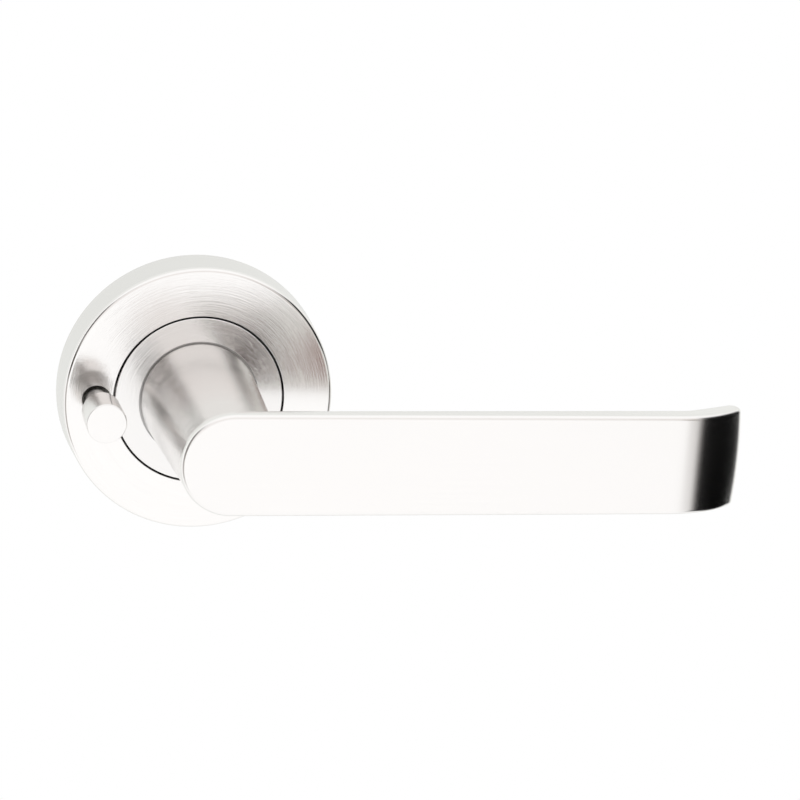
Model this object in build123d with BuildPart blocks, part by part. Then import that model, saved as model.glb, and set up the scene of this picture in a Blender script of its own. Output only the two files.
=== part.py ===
from build123d import *
import os
from math import asin, cos, degrees, radians, sin, sqrt, tan

# A door lever on a round rose with a privacy pin, the inside half of a set.
# Millimetres. +X runs along the lever to its tip, +Z is up, -Y faces the room.
# The origin is where the spindle axis meets the face of the door.
# "Depth" means distance out from the door, so a depth d lies at y = -d.

# Rose cover
rose_d = 65.0
rose_depth = 11.1
cover_wall = 1.2
cover_edge_r = 1.3
cover_face_w = 12.1
cover_play = 0.3

# Turning flange in the middle of the rose
flange_gap = 0.42
flange_t = 1.8
flange_edge = 0.2

# Neck of the lever and how it sits in the flange
neck_base_d = 27.9
neck_seat_gap = 0.25
neck_seat_depth = 0.5
neck_spigot_d = 20.0
press_play = 0.02

# Blade of the lever
reach = 61.1
lever_length = 119.85
blade_h = 23.8
blade_t_neck = 3.7
blade_t_curl = 5.15
blade_edge_r = 1.1
curl_r = 26.0
curl_angle = 40.5
curl_back_angle = 21.9
curl_knee_r = 7.0
nose_r = 2.1
tip_corner_r = 0.5
tip_bow = 0.85
tip_bow_ahead = 0.15

# Square spindle and the grub screw that holds the lever on it
spindle_w = 8.0
spindle_play = 0.05
spindle_behind = 60.0
spindle_in_lever = 44.0
socket_spare = 1.0
spindle_chamfer = 0.8
grub_d = 5.0
grub_play = 0.05
grub_depth = 24.0
grub_sunk = 1.0
grub_key = 2.5
grub_key_depth = 3.0

# Base plate
plate_t = 3.0
rim_w = 2.4
rim_depth = 6.2
boss_d = 28.0
boss_fillet = 0.6
back_bore_d = 24.8

# Follower that carries the return spring, and its bearing
journal_d = 19.0
running_play = 0.05
bush_wall = 1.25
bush_flange_t = 0.55
bush_flange_d = 26.0
follower_plate_t = 1.3
follower_plate_d = 25.6
arm_w = 7.0
tab_w = 3.0
tab_radial = 1.7
tab_end_gap = 0.4

# Retaining stack behind the follower
follower_sunk = 0.2
circlip_land = 0.3
circlip_t = 1.0
circlip_groove = 0.6
circlip_w = 2.4
circlip_play = 0.05
circlip_mouth = 70.0
circlip_lug_r = 1.5
circlip_eye_r = 0.65
wave_t = 0.3
wave_rise = 0.27
wave_gap = 0.03
washer_t = 0.5
washer_d = 24.2
washer_play = 0.2

# Return spring
wire_d = 1.2
coil_gap = 0.7
coil_end_gap = 0.25
coil_growth = 1.3
leg_bend_r = 2.0
leg_play = 0.05
leg_overhang = 0.4
post_w = 3.1
post_radial = 2.6
post_gap = 0.5
post_short = 0.1

# Stops
turn_limit = 45.0
stop_d = 2.6
stop_slack = 0.06
stop_sunk = 2.2

# Fixing bolts
bolt_span = 38.0
bolt_d = 4.0
bolt_head_d = 7.8
bolt_shank_d = 3.5
bolt_hole_play = 0.2
bolt_behind = 34.0
bolt_recess_w = 0.9
bolt_recess_l = 4.2
bolt_recess_depth = 1.3

# Snap ring that holds the cover
snap_t = 0.7
snap_from_rim = 1.4
snap_side_gap = 0.2
snap_in_plate = 0.8
snap_in_cover = 0.25
snap_mouth = 18.0

# Privacy pin
pin_inset = 8.2
pin_stem_d = 5.6
pin_hole_play = 0.55
knob_front_d = 9.4
knob_back_d = 9.1
knob_l = 10.1
knob_standoff = 9.1
knob_edge = 0.3
knob_thread_d = 4.0
knob_thread_l = 5.0
knob_thread_play = 0.05
pin_travel = 6.0
stem_sunk = 0.2
tail_d = 3.2
tail_behind = 22.0

# Guide of the privacy pin
guide_d = 10.0
guide_depth = 7.6
guide_wall = 1.05
guide_back_pocket = 1.6
guide_pocket_d = 10.4
guide_seat_t = 1.6
guide_clearance = 0.3
clip_wire_d = 0.9
clip_groove = 0.4
clip_play = 0.03
clip_slot_play = 0.06
clip_tail = 6.4
clip_bow_gap = 0.5
e_clip_t = 0.7
e_clip_d = 9.2
e_clip_groove = 0.7
e_clip_gap = 0.1
e_clip_mouth = 0.9

# Sizes that follow from those above
rose_r = rose_d / 2
cover_inner_r = rose_r - cover_wall
cover_hole_r = rose_r - cover_face_w
flange_r = cover_hole_r - flange_gap
flange_back = rose_depth - flange_t
neck_base_r = neck_base_d / 2
neck_foot = rose_depth - neck_seat_depth
blade_half = blade_h / 2
blade_back = reach - blade_t_neck
plate_r = cover_inner_r - cover_play
boss_r = boss_d / 2
journal_r = journal_d / 2
bush_r = journal_r + running_play
bush_outer_r = bush_r + bush_wall
follower_arm_back = flange_back - follower_plate_t
boss_depth = follower_arm_back - running_play - bush_flange_t
circlip_back = follower_sunk + circlip_land
circlip_front = circlip_back + circlip_t
wave_front = circlip_front + wave_t + wave_rise
washer_back = wave_front + wave_gap
back_bore_depth = washer_back + washer_t
wire_r = wire_d / 2
coil_r = boss_r + coil_gap + wire_r
coil_back = plate_t + coil_end_gap + wire_r
coil_front = follower_arm_back - coil_end_gap - wire_r
tab_in = coil_r + wire_r + coil_growth
tab_out = tab_in + tab_radial
post_in = tab_out + post_gap
post_out = post_in + post_radial
leg_end = post_out + leg_overhang
post_depth = follower_arm_back - post_short
stop_r = stop_d / 2
stop_circle = (tab_in + tab_out) / 2
stop_angle = turn_limit + degrees(asin((tab_w / 2 + stop_r + stop_slack) / stop_circle))
stop_turns = (radians(stop_angle), radians(-stop_angle))
stop_places = [(stop_circle * cos(a), stop_circle * sin(a)) for a in stop_turns]
bolt_places = [(0, bolt_span / 2), (0, -bolt_span / 2)]
pin_at = (pin_inset - rose_r, 0)
pin_r = pin_stem_d / 2
knob_back = rose_depth + knob_standoff
knob_front = knob_back + knob_l
guide_bore_r = pin_r + running_play + guide_wall
clip_r = clip_wire_d / 2
clip_slot_w = clip_wire_d + 2 * clip_slot_play
clip_back = guide_back_pocket + guide_seat_t
clip_depth = clip_back + clip_slot_w / 2
guide_bush_back = clip_back + clip_slot_w
clip_x = pin_r - clip_groove + clip_play + clip_r
e_clip_front = guide_back_pocket - e_clip_gap
snap_front = rim_depth - snap_from_rim
snap_back = snap_front - snap_t


def at_depth(depth):
    """The plane parallel to the door at this depth; it faces the room."""
    return Plane.XZ.offset(depth)


def pin_axis_at(depth):
    """The same plane with its origin on the axis of the privacy pin."""
    return Plane(origin=(pin_at[0], -depth, pin_at[1]), x_dir=(1, 0, 0), z_dir=(0, -1, 0))


# Lever: a tapered round neck that runs into a flat blade with a curled tip
nose_x = lever_length - nose_r
nose_behind = curl_r - (curl_r - nose_r) * cos(radians(curl_angle))
curl_x = nose_x - (curl_r - nose_r) * sin(radians(curl_angle))
lift = tan(radians(curl_back_angle))
back_slope = (blade_t_curl - blade_t_neck) / curl_x
nose_back_x = nose_x - nose_r * sin(radians(curl_back_angle))
nose_back_behind = nose_behind + nose_r * cos(radians(curl_back_angle))
knee_x = (blade_t_neck - nose_back_behind + lift * nose_back_x) / (lift - back_slope)
knee_behind = blade_t_neck + back_slope * knee_x
nose_turn = 180 - curl_angle + curl_back_angle
socket_w = spindle_w + 2 * spindle_play

with BuildPart() as lever_handle:
    with BuildSketch(Plane.XY) as blade_plan:
        with BuildLine():
            Line((0, -reach), (curl_x, -reach))
            CenterArc((curl_x, curl_r - reach), curl_r, -90, curl_angle)
            CenterArc((nose_x, nose_behind - reach), nose_r, curl_angle - 90, nose_turn)
            Line((nose_back_x, nose_back_behind - reach), (knee_x, knee_behind - reach))
            Line((knee_x, knee_behind - reach), (0, -blade_back))
            Line((0, -blade_back), (0, -reach))
        make_face()
        knee = blade_plan.vertices().sort_by_distance((knee_x, knee_behind - reach))[0]
        fillet(knee, curl_knee_r)
    extrude(amount=blade_half, both=True)
    long_edges = lever_handle.faces().filter_by(Axis.Z).edges().filter_by(
        lambda e: abs(e.center().X) > nose_r
    )
    fillet(long_edges, blade_edge_r)
    with BuildSketch(at_depth(0)) as blade_outline:
        bow_x = lever_length + tip_bow_ahead
        tip_edge = bow_x - tip_bow
        with BuildLine():
            Polyline((tip_edge, -blade_half), (0, -blade_half), (0, blade_half), (tip_edge, blade_half))
            ThreePointArc((tip_edge, blade_half), (bow_x, 0), (tip_edge, -blade_half))
        make_face()
        fillet(blade_outline.vertices().group_by(Axis.X)[-1], tip_corner_r)
    extrude(amount=reach, mode=Mode.INTERSECT)
    with BuildSketch(Plane.XY) as neck_profile:
        with BuildLine():
            Polyline(
                (0, -flange_back),
                (neck_spigot_d / 2, -flange_back),
                (neck_spigot_d / 2, -neck_foot),
                (neck_base_r, -neck_foot),
                (blade_half, -blade_back),
                (blade_half, -reach),
                (0, -reach),
                close=True,
            )
        make_face()
        fillet(neck_profile.vertices().sort_by_distance((blade_half, -reach))[0], blade_edge_r)
    revolve(axis=Axis.Y)
    with BuildSketch(at_depth(flange_back)):
        Rectangle(socket_w, socket_w)
    extrude(amount=spindle_in_lever + socket_spare - flange_back, mode=Mode.SUBTRACT)
    with BuildSketch(Plane((0, -grub_depth, 0), x_dir=(1, 0, 0), z_dir=(0, 0, -1))):
        Circle(grub_d / 2)
    extrude(amount=neck_base_d, mode=Mode.SUBTRACT)

# Flange: the flat disc in the middle of the rose, pressed on the foot of the neck
with BuildPart() as neck_flange:
    with BuildSketch(at_depth(flange_back)):
        Circle(flange_r)
        Circle(neck_spigot_d / 2 + press_play, mode=Mode.SUBTRACT)
    extrude(amount=flange_t)
    with BuildSketch(at_depth(neck_foot)):
        Circle(neck_base_r + neck_seat_gap)
    extrude(amount=neck_seat_depth, mode=Mode.SUBTRACT)
    circles = neck_flange.edges().filter_by(GeomType.CIRCLE)
    chamfer(circles.filter_by(lambda e: e.radius > flange_r - flange_edge), flange_edge)

# Spindle: square bar through the door
with BuildPart() as spindle:
    with BuildSketch(at_depth(-spindle_behind)):
        Rectangle(spindle_w, spindle_w)
    extrude(amount=spindle_behind + spindle_in_lever)
    chamfer(spindle.faces().filter_by(Axis.Y).edges(), spindle_chamfer)

# Grub screw under the neck, bearing on the flat of the spindle
neck_taper = (neck_base_r - blade_half) / (blade_back - neck_foot)
neck_r_at_grub = neck_base_r - neck_taper * (grub_depth - neck_foot)
with BuildPart() as spindle_grub_screw:
    with BuildSketch(Plane((0, -grub_depth, -spindle_w / 2), x_dir=(1, 0, 0), z_dir=(0, 0, -1))):
        Circle(grub_d / 2 - grub_play)
    extrude(amount=neck_r_at_grub - grub_sunk - spindle_w / 2)
    with BuildSketch(spindle_grub_screw.faces().sort_by(Axis.Z)[0]):
        RegularPolygon(grub_key / 2, 6, major_radius=False)
    extrude(amount=-grub_key_depth, mode=Mode.SUBTRACT)

# Follower: the sprung hub in the base plate that the spindle passes through
with BuildPart() as spring_follower:
    with BuildSketch(at_depth(follower_sunk)):
        Circle(journal_r)
    extrude(amount=flange_back - follower_sunk)
    with BuildSketch(at_depth(follower_arm_back)):
        Circle(follower_plate_d / 2)
        with Locations((tab_out / 2, 0)):
            Rectangle(tab_out, arm_w)
    extrude(amount=follower_plate_t)
    arm_corners = spring_follower.edges().filter_by(Axis.Y).group_by(Axis.X)[-1]
    fillet(arm_corners, (arm_w - tab_w) / 4)
    with BuildSketch(at_depth(plate_t + tab_end_gap)):
        with Locations(((tab_in + tab_out) / 2, 0)):
            Rectangle(tab_radial, tab_w)
    extrude(amount=follower_arm_back - plate_t - tab_end_gap)
    with BuildSketch(at_depth(circlip_back)):
        Circle(journal_r)
        Circle(journal_r - circlip_groove, mode=Mode.SUBTRACT)
    extrude(amount=circlip_t, mode=Mode.SUBTRACT)
    with BuildSketch(at_depth(0)):
        Rectangle(socket_w, socket_w)
    extrude(amount=rose_depth, mode=Mode.SUBTRACT)

# Circlip in the groove of the follower, with two eyed lugs at its mouth
circlip_in = journal_r - circlip_groove + circlip_play
circlip_out = circlip_in + circlip_w
lug_circle = circlip_out - circlip_lug_r / 2
with BuildPart() as follower_circlip:
    with BuildSketch(at_depth(circlip_back)):
        Circle(circlip_out)
        Circle(circlip_in, mode=Mode.SUBTRACT)
        with BuildLine():
            wedge = 2 * circlip_out
            half_mouth = radians(circlip_mouth / 2)
            Polyline(
                (0, 0),
                (wedge * sin(half_mouth), -wedge * cos(half_mouth)),
                (-wedge * sin(half_mouth), -wedge * cos(half_mouth)),
                close=True,
            )
        make_face(mode=Mode.SUBTRACT)
        with PolarLocations(lug_circle, 2, -90 - circlip_mouth / 2, circlip_mouth, endpoint=True):
            Circle(circlip_lug_r)
            Circle(circlip_eye_r, mode=Mode.SUBTRACT)
        Circle(circlip_in, mode=Mode.SUBTRACT)
    extrude(amount=circlip_t)

# Curved spring washer that takes up the end play of the follower
wave_out = washer_d / 2
wave_in = journal_r + washer_play
with BuildPart() as wave_washer:
    with BuildSketch(Plane.XY):
        with BuildLine():
            crest = -circlip_front
            ThreePointArc(
                (-wave_out, crest - wave_rise),
                (0, crest),
                (wave_out, crest - wave_rise),
            )
            Line((wave_out, crest - wave_rise), (wave_out, crest - wave_rise - wave_t))
            ThreePointArc(
                (wave_out, crest - wave_rise - wave_t),
                (0, crest - wave_t),
                (-wave_out, crest - wave_rise - wave_t),
            )
            Line((-wave_out, crest - wave_rise - wave_t), (-wave_out, crest - wave_rise))
        make_face()
    extrude(amount=wave_out, both=True)
    with BuildSketch(at_depth(0)):
        Circle(wave_out)
        Circle(wave_in, mode=Mode.SUBTRACT)
    extrude(amount=rose_depth, mode=Mode.INTERSECT)

# Flat washer between the curved washer and the base plate
with BuildPart() as thrust_washer:
    with BuildSketch(at_depth(washer_back)):
        Circle(washer_d / 2)
        Circle(journal_r + washer_play, mode=Mode.SUBTRACT)
    extrude(amount=washer_t)

# Base plate: cast disc with a rim, a bearing boss, a spring post and the pin's guide
bolt_hole_r = bolt_d / 2 + bolt_hole_play
with BuildPart() as base_plate:
    with BuildSketch(at_depth(0)):
        Circle(plate_r)
    extrude(amount=plate_t)
    with BuildSketch(at_depth(0)):
        Circle(plate_r)
        Circle(plate_r - rim_w, mode=Mode.SUBTRACT)
    extrude(amount=rim_depth)
    with BuildSketch(at_depth(0)):
        Circle(boss_r)
    extrude(amount=boss_depth)
    with BuildSketch(at_depth(0)):
        with Locations(((post_in + post_out) / 2, 0)):
            Rectangle(post_radial, post_w)
    extrude(amount=post_depth)
    with BuildSketch(at_depth(0)):
        with Locations(pin_at):
            Circle(guide_d / 2)
    extrude(amount=guide_depth)
    boss_foot = base_plate.edges().filter_by(GeomType.CIRCLE).filter_by(
        lambda e: abs(e.radius - boss_r) < press_play and abs(e.center().Y + plate_t) < press_play
    )
    fillet(boss_foot, boss_fillet)
    with BuildSketch(at_depth(0)):
        Circle(bush_outer_r + press_play)
    extrude(amount=boss_depth, mode=Mode.SUBTRACT)
    with BuildSketch(at_depth(0)):
        Circle(back_bore_d / 2)
    extrude(amount=back_bore_depth, mode=Mode.SUBTRACT)
    with BuildSketch(at_depth(snap_back - snap_side_gap)):
        Circle(plate_r)
        Circle(plate_r - snap_in_plate - press_play, mode=Mode.SUBTRACT)
    extrude(amount=snap_t + snap_side_gap, mode=Mode.SUBTRACT)
    with Locations(at_depth(plate_t)):
        with Locations(*bolt_places):
            CounterSinkHole(bolt_hole_r, bolt_head_d / 2, counter_sink_angle=90)
    with BuildSketch(at_depth(plate_t - stop_sunk)):
        with Locations(*stop_places):
            Circle(stop_r + press_play)
    extrude(amount=stop_sunk, mode=Mode.SUBTRACT)
    with BuildSketch(pin_axis_at(guide_bush_back)):
        Circle(guide_bore_r + press_play)
    extrude(amount=guide_depth - guide_bush_back, mode=Mode.SUBTRACT)
    with BuildSketch(pin_axis_at(0)):
        Circle(pin_r + guide_clearance)
    extrude(amount=guide_depth, mode=Mode.SUBTRACT)
    with BuildSketch(pin_axis_at(0)):
        Circle(guide_pocket_d / 2)
    extrude(amount=guide_back_pocket, mode=Mode.SUBTRACT)
    with BuildSketch(pin_axis_at(clip_back)):
        with GridLocations(2 * clip_x, 0, 2, 1):
            Rectangle(clip_slot_w, guide_d + 2 * clip_bow_gap)
    extrude(amount=clip_slot_w, mode=Mode.SUBTRACT)

# Flanged plain bearing between the follower and the boss
with BuildPart() as bearing_bush:
    with BuildSketch(at_depth(back_bore_depth)):
        Circle(bush_outer_r)
    extrude(amount=boss_depth - back_bore_depth)
    with BuildSketch(at_depth(boss_depth)):
        Circle(bush_flange_d / 2)
    extrude(amount=bush_flange_t)
    with BuildSketch(at_depth(0)):
        Circle(bush_r)
    extrude(amount=rose_depth, mode=Mode.SUBTRACT)

# Return spring: two turns round the boss, with its legs either side of post and tab
leg_z = post_w / 2 + leg_play + wire_r
bend_z = leg_z + leg_bend_r
bend_x = sqrt((coil_r + leg_bend_r) ** 2 - bend_z**2)
bend_angle = degrees(asin(bend_z / (coil_r + leg_bend_r)))
climb = coil_front - coil_back
tilted_r = sqrt(coil_r**2 + (climb / 4) ** 2)


def coil_point(angle, depth, radius=coil_r, centre=(0, 0)):
    """A point of the wire's centre line, by its angle round the spindle and its depth."""
    a = radians(angle)
    return (centre[0] + radius * cos(a), -depth, centre[1] + radius * sin(a))


upper_bend = (bend_x, bend_z)
lower_bend = (bend_x, -bend_z)
with BuildPart() as return_spring:
    with BuildLine() as spring_wire:
        Line((leg_end, -coil_back, leg_z), (bend_x, -coil_back, leg_z))
        ThreePointArc(
            (bend_x, -coil_back, leg_z),
            coil_point(225 + bend_angle / 2, coil_back, leg_bend_r, upper_bend),
            coil_point(bend_angle, coil_back),
        )
        ThreePointArc(
            coil_point(bend_angle, coil_back),
            coil_point(90 + bend_angle / 2, coil_back),
            coil_point(180, coil_back),
        )
        ThreePointArc(
            coil_point(180, coil_back),
            coil_point(270, coil_back + climb / 4, tilted_r),
            coil_point(0, coil_back + climb / 2),
        )
        ThreePointArc(
            coil_point(0, coil_back + climb / 2),
            coil_point(90, coil_front - climb / 4, tilted_r),
            coil_point(180, coil_front),
        )
        ThreePointArc(
            coil_point(180, coil_front),
            coil_point(270 - bend_angle / 2, coil_front),
            coil_point(-bend_angle, coil_front),
        )
        ThreePointArc(
            coil_point(-bend_angle, coil_front),
            coil_point(135 - bend_angle / 2, coil_front, leg_bend_r, lower_bend),
            (bend_x, -coil_front, -leg_z),
        )
        Line((bend_x, -coil_front, -leg_z), (leg_end, -coil_front, -leg_z))
    wire_path = spring_wire.wire()
    with BuildSketch(Plane(origin=wire_path @ 0, z_dir=wire_path % 0)):
        Circle(wire_r)
    sweep(path=wire_path)

# Least gap between its turns, between points of the centre line more than a few wires apart
gap_steps = 400
wires_apart = 6
samples = [wire_path @ (i / gap_steps) for i in range(gap_steps + 1)]
apart = int(gap_steps * wires_apart * wire_d / wire_path.length)
near = min((a - b).length for i, a in enumerate(samples) for b in samples[i + apart :])
print("return_spring least gap to itself", round(near - wire_d, 3), "mm")

# Stop pins that end the lever's turn each way
with BuildPart() as stop_pins:
    with BuildSketch(at_depth(plate_t - stop_sunk)):
        with Locations(*stop_places):
            Circle(stop_r)
    extrude(amount=post_depth - plate_t + stop_sunk)

# Two countersunk bolts that run through the door
head_cone = bolt_head_d / 2 - bolt_shank_d / 2
with BuildPart() as fixing_bolts:
    with BuildSketch(at_depth(plate_t)):
        with Locations(*bolt_places):
            Circle(bolt_head_d / 2 - press_play)
    extrude(amount=-head_cone, taper=45)
    with BuildSketch(at_depth(0)):
        with Locations(*bolt_places):
            Circle(bolt_shank_d / 2)
    extrude(amount=plate_t - head_cone / 2)
    with BuildSketch(at_depth(-bolt_behind)):
        with Locations(*bolt_places):
            Circle(bolt_d / 2)
    extrude(amount=bolt_behind)
    with BuildSketch(at_depth(plate_t)):
        with Locations(*bolt_places):
            Rectangle(bolt_recess_l, bolt_recess_w)
            Rectangle(bolt_recess_w, bolt_recess_l)
    extrude(amount=-bolt_recess_depth, mode=Mode.SUBTRACT)

# Split ring between the rim of the base plate and the groove of the cover
snap_in = plate_r - snap_in_plate
snap_out = cover_inner_r + snap_in_cover
with BuildPart() as cover_snap_ring:
    with BuildSketch(at_depth(snap_back)):
        Circle(snap_out)
        Circle(snap_in, mode=Mode.SUBTRACT)
        with Locations((0, -rose_r)):
            Rectangle(2 * rose_r * sin(radians(snap_mouth / 2)), rose_r, mode=Mode.SUBTRACT)
    extrude(amount=snap_t)

# Rose cover: spun shell with a hole for the flange and one for the privacy pin
with BuildPart() as rose_cover:
    with BuildSketch(Plane.XY) as cover_profile:
        with BuildLine():
            Polyline(
                (cover_inner_r, 0),
                (rose_r, 0),
                (rose_r, -rose_depth),
                (cover_hole_r, -rose_depth),
                (cover_hole_r, -rose_depth + cover_wall),
                (cover_inner_r, -rose_depth + cover_wall),
                close=True,
            )
        make_face()
        fillet(cover_profile.vertices().sort_by_distance((rose_r, -rose_depth))[0], cover_edge_r)
    revolve(axis=Axis.Y)
    with BuildSketch(at_depth(snap_back)):
        Circle(snap_out + press_play)
        Circle(cover_inner_r, mode=Mode.SUBTRACT)
    extrude(amount=snap_t + snap_side_gap, mode=Mode.SUBTRACT)
    with BuildSketch(pin_axis_at(0)):
        Circle(pin_r + pin_hole_play)
    extrude(amount=rose_depth, mode=Mode.SUBTRACT)

# Privacy knob: the slightly flared head that is pressed towards the door
with BuildPart() as privacy_knob:
    with BuildSketch(pin_axis_at(knob_back)):
        Circle(knob_back_d / 2)
    with BuildSketch(pin_axis_at(knob_front)):
        Circle(knob_front_d / 2)
    loft()
    chamfer(privacy_knob.faces().sort_by(Axis.Y)[0].edges(), knob_edge)
    with BuildSketch(pin_axis_at(knob_back)):
        Circle(knob_thread_d / 2 + knob_thread_play)
    extrude(amount=knob_thread_l + knob_thread_play, mode=Mode.SUBTRACT)

# Privacy stem: slides in the guide, with two detent grooves, a clip groove and a thin tail
detent_depths = [clip_depth, clip_depth + pin_travel]
with BuildPart() as privacy_stem:
    with BuildSketch(pin_axis_at(stem_sunk)):
        Circle(pin_r)
    extrude(amount=knob_back - stem_sunk)
    with BuildSketch(pin_axis_at(knob_back)):
        Circle(knob_thread_d / 2)
    extrude(amount=knob_thread_l)
    with BuildSketch(pin_axis_at(-tail_behind)):
        Circle(tail_d / 2)
    extrude(amount=tail_behind + stem_sunk)
    for depth in detent_depths:
        with BuildSketch(pin_axis_at(depth - clip_slot_w / 2)):
            Circle(pin_r)
            Circle(pin_r - clip_groove, mode=Mode.SUBTRACT)
        extrude(amount=clip_slot_w, mode=Mode.SUBTRACT)
    with BuildSketch(pin_axis_at(e_clip_front - e_clip_t - clip_play)):
        Circle(pin_r)
        Circle(pin_r - e_clip_groove, mode=Mode.SUBTRACT)
    extrude(amount=e_clip_t + 2 * clip_play, mode=Mode.SUBTRACT)

# Clip that keeps the stem from being pulled out
e_clip_in = pin_r - e_clip_groove + clip_play
with BuildPart() as stem_e_clip:
    with BuildSketch(pin_axis_at(e_clip_front - e_clip_t)):
        Circle(e_clip_d / 2)
        Circle(e_clip_in, mode=Mode.SUBTRACT)
        with Locations((0, -e_clip_d / 2)):
            Rectangle(2 * e_clip_in * e_clip_mouth, e_clip_d, mode=Mode.SUBTRACT)
    extrude(amount=e_clip_t)

# Plain bearing that the stem slides in
with BuildPart() as guide_bush:
    with BuildSketch(pin_axis_at(guide_bush_back)):
        Circle(guide_bore_r)
        Circle(pin_r + running_play, mode=Mode.SUBTRACT)
    extrude(amount=guide_depth - guide_bush_back)

# Detent: a hairpin of wire that snaps into the grooves of the stem
bow_z = guide_d / 2 + clip_bow_gap
with BuildPart() as detent_clip:
    with BuildLine() as hairpin:
        Line((pin_at[0] - clip_x, -clip_depth, -clip_tail), (pin_at[0] - clip_x, -clip_depth, bow_z))
        ThreePointArc(
            (pin_at[0] - clip_x, -clip_depth, bow_z),
            (pin_at[0], -clip_depth, bow_z + clip_x),
            (pin_at[0] + clip_x, -clip_depth, bow_z),
        )
        Line((pin_at[0] + clip_x, -clip_depth, bow_z), (pin_at[0] + clip_x, -clip_depth, -clip_tail))
    hairpin_wire = hairpin.wire()
    with BuildSketch(Plane(origin=hairpin_wire @ 0, z_dir=hairpin_wire % 0)):
        Circle(clip_r)
    sweep(path=hairpin_wire)

pieces = {
    "lever_handle": lever_handle,
    "neck_flange": neck_flange,
    "spindle": spindle,
    "spindle_grub_screw": spindle_grub_screw,
    "spring_follower": spring_follower,
    "follower_circlip": follower_circlip,
    "wave_washer": wave_washer,
    "thrust_washer": thrust_washer,
    "base_plate": base_plate,
    "bearing_bush": bearing_bush,
    "return_spring": return_spring,
    "stop_pins": stop_pins,
    "fixing_bolts": fixing_bolts,
    "cover_snap_ring": cover_snap_ring,
    "rose_cover": rose_cover,
    "privacy_knob": privacy_knob,
    "privacy_stem": privacy_stem,
    "stem_e_clip": stem_e_clip,
    "guide_bush": guide_bush,
    "detent_clip": detent_clip,
}
os.makedirs("parts", exist_ok=True)
for name, piece in pieces.items():
    piece.part.label = name
    export_step(piece.part, f"parts/{name}.step")
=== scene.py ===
"""Looks of a door lever on a round rose with a privacy pin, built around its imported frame.

Metres. +X runs along the lever to its tip, +Z is up and -Y faces the room. The spindle's axis is Y.
"Depth" means distance out from the door, so a depth d lies at y = -d.
"""

from math import asin, cos, pi, radians, sin, tan

import bmesh
import bpy
import numpy as np
from mathutils import Matrix, Vector


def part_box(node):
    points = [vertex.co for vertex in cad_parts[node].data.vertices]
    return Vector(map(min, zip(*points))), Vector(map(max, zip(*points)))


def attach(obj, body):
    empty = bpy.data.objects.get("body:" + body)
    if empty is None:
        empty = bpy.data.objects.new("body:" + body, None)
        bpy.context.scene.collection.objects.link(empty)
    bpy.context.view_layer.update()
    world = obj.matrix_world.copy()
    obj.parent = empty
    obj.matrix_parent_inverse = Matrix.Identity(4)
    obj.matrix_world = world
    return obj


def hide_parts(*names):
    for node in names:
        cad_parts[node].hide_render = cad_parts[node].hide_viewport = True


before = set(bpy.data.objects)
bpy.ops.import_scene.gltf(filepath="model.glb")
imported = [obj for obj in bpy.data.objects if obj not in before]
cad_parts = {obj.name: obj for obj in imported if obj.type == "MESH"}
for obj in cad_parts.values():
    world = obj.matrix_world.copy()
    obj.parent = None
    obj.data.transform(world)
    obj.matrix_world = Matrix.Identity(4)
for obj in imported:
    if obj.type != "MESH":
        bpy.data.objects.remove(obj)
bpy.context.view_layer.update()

bl_info = {
    "name": "Door Lever Looks",
    "version": (1, 0, 0),
    "blender": (4, 5, 0),
    "location": "View3D > Sidebar > Door Lever",
    "description": "Surfaces and finishes of a satin steel door lever on a round rose",
    "category": "Object",
}

MM = 0.001

# Places taken from the frame
LEVER_LOW, LEVER_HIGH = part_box("lever_handle")
ROSE_LOW, ROSE_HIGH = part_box("rose_cover")
FLANGE_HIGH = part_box("neck_flange")[1]
KNOB_LOW, KNOB_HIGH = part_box("privacy_knob")
STEM_LOW, STEM_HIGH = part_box("privacy_stem")
BOLTS_LOW, BOLTS_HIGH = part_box("fixing_bolts")
SPINDLE_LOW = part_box("spindle")[0]
GRUB_LOW, GRUB_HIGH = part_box("spindle_grub_screw")
CLIP_LOW, CLIP_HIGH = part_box("stem_e_clip")
DETENT_LOW, DETENT_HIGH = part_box("detent_clip")
TIP_X = LEVER_HIGH.x
REACH = -LEVER_LOW.y
NECK_BASE_R = LEVER_HIGH.z
SPIGOT_DEPTH = -LEVER_HIGH.y
ROSE_R = ROSE_HIGH.x
ROSE_DEPTH = -ROSE_LOW.y
FLANGE_R = FLANGE_HIGH.x
PIN_X = (KNOB_LOW.x + KNOB_HIGH.x) / 2
STEM_R = STEM_HIGH.z
SPINDLE_CLEARANCE = 1.0 * MM
SOCKET_END = -SPINDLE_LOW.y + SPINDLE_CLEARANCE

# How finely the surfaces are divided; points a hold away from a rounding keep the flat beside it flat in the
# shading, and points within the weld become one
SIDES = 256
BOLT_SIDES = 32
CORNER_STEPS = 6
CURL_POINTS = 60
BLADE_POINTS = 31
NOSE_POINTS = 21
END_POINTS = 49
BLOCK_POINTS = 9
HEAD_POINTS = 14
FLOOR_POINTS = 9
HOLD = 0.03 * MM
WELD = 0.002 * MM
SHARP_ANGLE = radians(32)


# Sizes and colours that a user would change
def length(name, description, default):
    """A length setting, shown in the scene's units."""
    return bpy.props.FloatProperty(
        name=name, description=description, default=default, min=0.0, unit="LENGTH", precision=5
    )


def angle(name, description, default):
    """An angle setting, given in degrees."""
    return bpy.props.FloatProperty(
        name=name, description=description, default=radians(default), subtype="ANGLE"
    )


def share(name, description, default):
    """A setting from 0 to 1."""
    return bpy.props.FloatProperty(
        name=name, description=description, default=default, min=0.0, max=1.0, subtype="FACTOR"
    )


def level(name, description, default):
    """A brightness, where 1 is white."""
    return bpy.props.FloatProperty(name=name, description=description, default=default, min=0.0, max=2.0)


def colour(name, description, default):
    """A colour setting in linear red, green and blue."""
    return bpy.props.FloatVectorProperty(
        name=name, description=description, default=default, min=0.0, max=1.0, subtype="COLOR"
    )


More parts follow.
